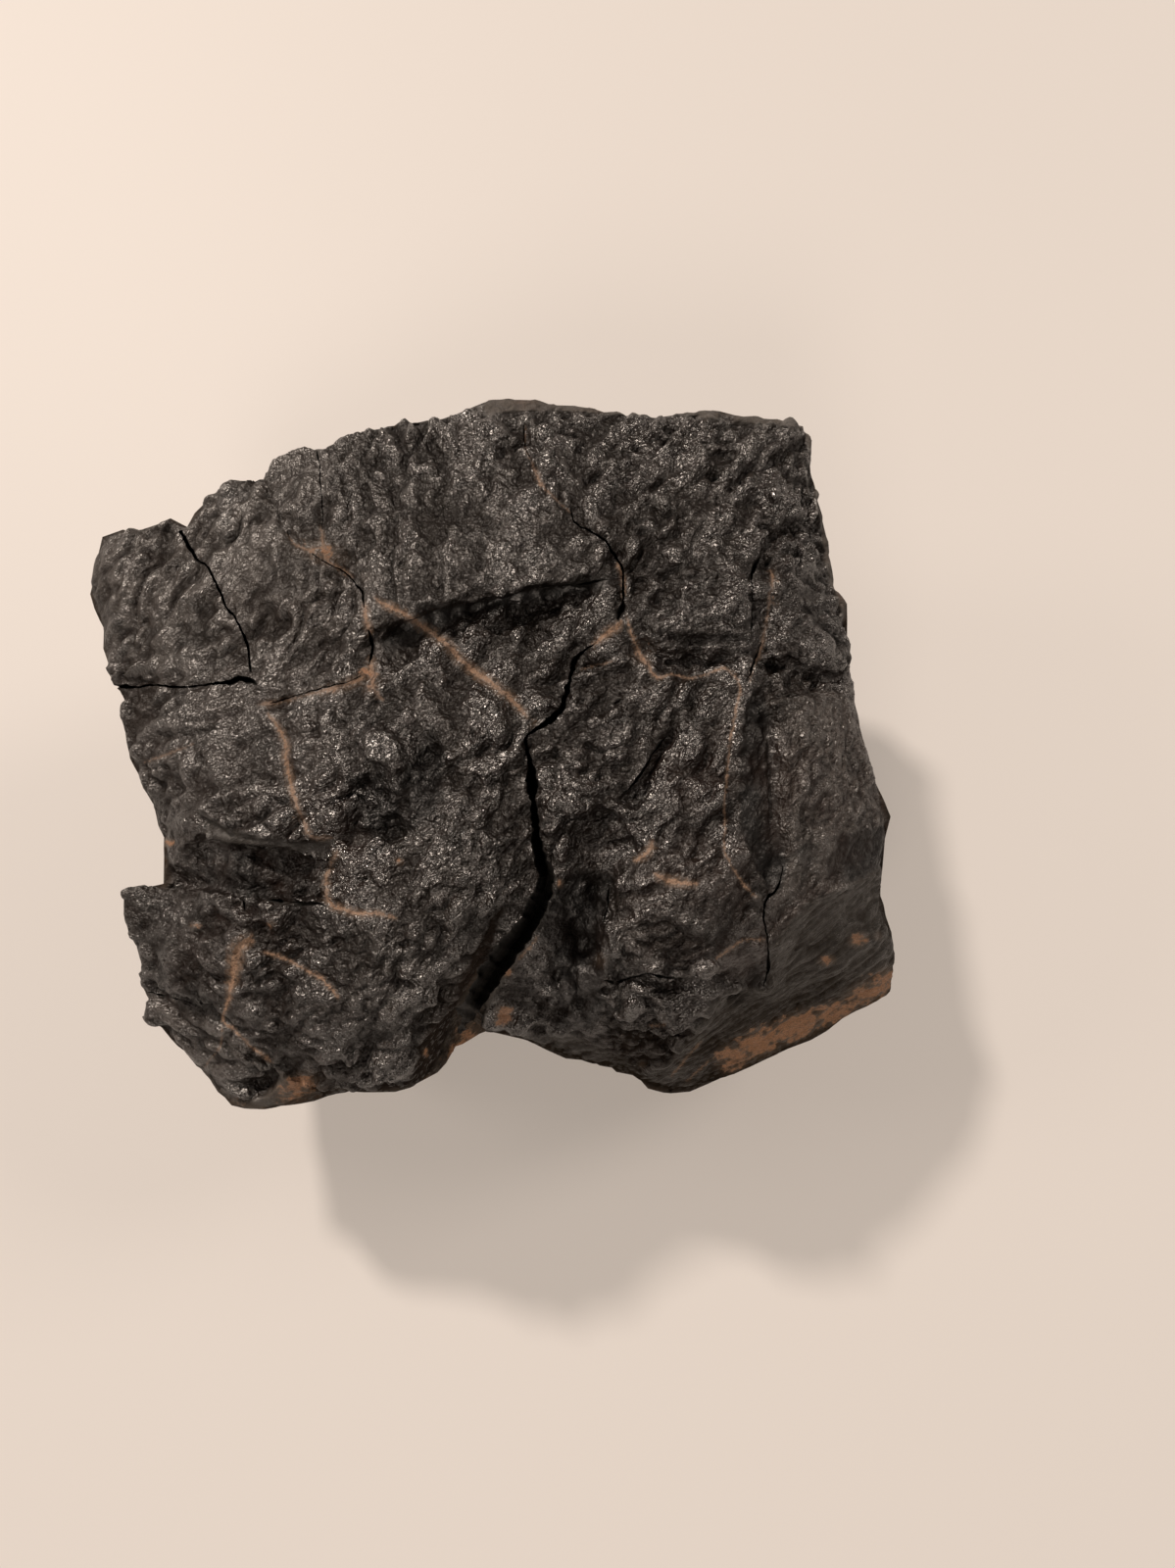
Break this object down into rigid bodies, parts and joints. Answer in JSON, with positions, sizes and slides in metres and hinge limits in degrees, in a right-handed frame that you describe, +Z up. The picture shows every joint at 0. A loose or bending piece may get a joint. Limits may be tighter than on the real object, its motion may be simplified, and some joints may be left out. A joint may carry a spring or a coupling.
{
  "type": "stone meteorite",
  "caption": "Heavy cracked stone with a wavy black crust above and clay-stained broken walls, lying on its flat foot; for display, study or as a prop.",
  "frame": {"origin": "middle of the bounding box, on the plane of the flat foot that the stone rests on", "axes": "+X along the longest extent, to the right of the open cleft seen from the front; +Y away from the cleft; +Z up through the crusted upper face"},
  "size_m": [0.152, 0.126, 0.076],
  "materials": {
    "fusion_crust": "near-black satin fusion crust in fine waves, with tan desert clay in the cracks and on the lower walls"
  },
  "bodies": {
    "root": {"meteorite": "fusion_crust"}
  },
  "joints": []
}
